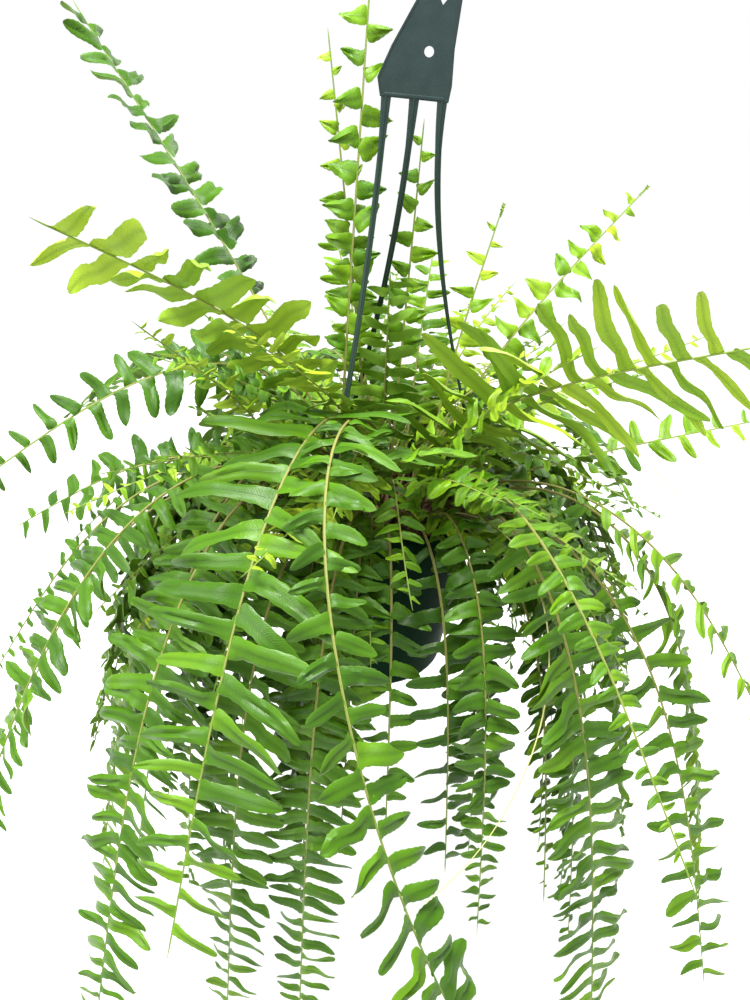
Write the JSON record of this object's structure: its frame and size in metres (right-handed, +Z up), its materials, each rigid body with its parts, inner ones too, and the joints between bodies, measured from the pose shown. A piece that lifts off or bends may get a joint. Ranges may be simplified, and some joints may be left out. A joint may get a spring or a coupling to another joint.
{
  "type": "potted boston fern",
  "caption": "Boston fern in a dark plastic hanging pot, its long arching fronds spilling over the rim, on a moulded hanger with a hook.",
  "frame": {"origin": "top of the inside of the hanger's hook, where the basket hangs", "axes": "+Z up, X across the hanger's plate, +Y away from the side that the picture shows"},
  "size_m": [0.9766, 1.0657, 1.1227],
  "materials": {
    "pot_plastic": "glossy dark green",
    "hanger_plastic": "satin grey-green",
    "peat": "crumbly, matte",
    "leaf_green": "soft sheen",
    "runner_tan": "matte"
  },
  "bodies": {
    "root": {"pot": "pot_plastic", "hanger": "hanger_plastic", "soil": "peat", "frond_front_left_broad": "leaf_green", "frond_front_middle_long": "leaf_green", "frond_right_near": "leaf_green", "frond_right_long": "leaf_green", "frond_left_near": "leaf_green", "frond_left_front": "leaf_green", "frond_left_tall": "leaf_green", "frond_left_level": "leaf_green", "frond_left_drooping": "leaf_green", "frond_left_low_long": "leaf_green", "frond_left_outer_long": "leaf_green", "frond_left_short": "leaf_green", "frond_left_flat": "leaf_green", "frond_left_fine": "leaf_green", "frond_left_slanting": "leaf_green", "frond_right_thin": "leaf_green", "frond_right_young": "leaf_green", "frond_crown_coiled": "leaf_green", "frond_crown_tallest": "leaf_green", "frond_crown_tall_left": "leaf_green", "frond_crown_tall_right": "leaf_green", "frond_right_outer": "leaf_green", "frond_right_low_long": "leaf_green", "frond_right_hanging": "leaf_green", "frond_front_narrow": "leaf_green", "frond_front_middle": "leaf_green", "frond_front_round": "leaf_green", "frond_front_dark": "leaf_green", "frond_front_young": "leaf_green", "frond_front_hanging": "leaf_green", "frond_front_left_low": "leaf_green", "frond_left_pale": "leaf_green", "frond_right_low": "leaf_green", "frond_right_pale": "leaf_green", "frond_right_side": "leaf_green", "frond_back_right": "leaf_green", "frond_back_right_high": "leaf_green", "frond_back_middle": "leaf_green", "frond_back_middle_high": "leaf_green", "frond_back_left": "leaf_green", "frond_back_left_high": "leaf_green", "frond_low_right": "leaf_green", "frond_low_back_right": "leaf_green", "frond_low_back": "leaf_green", "frond_low_back_middle": "leaf_green", "frond_low_back_left": "leaf_green", "frond_low_left_back": "leaf_green", "frond_low_left": "leaf_green", "frond_crown_front": "leaf_green", "frond_crown_right": "leaf_green", "frond_crown_back_left": "leaf_green", "frond_crown_left": "leaf_green", "frond_crown_near": "leaf_green", "frond_crown_back_right": "leaf_green", "runner_right": "runner_tan", "runner_front_right": "runner_tan", "runner_front_left": "runner_tan"}
  },
  "joints": []
}
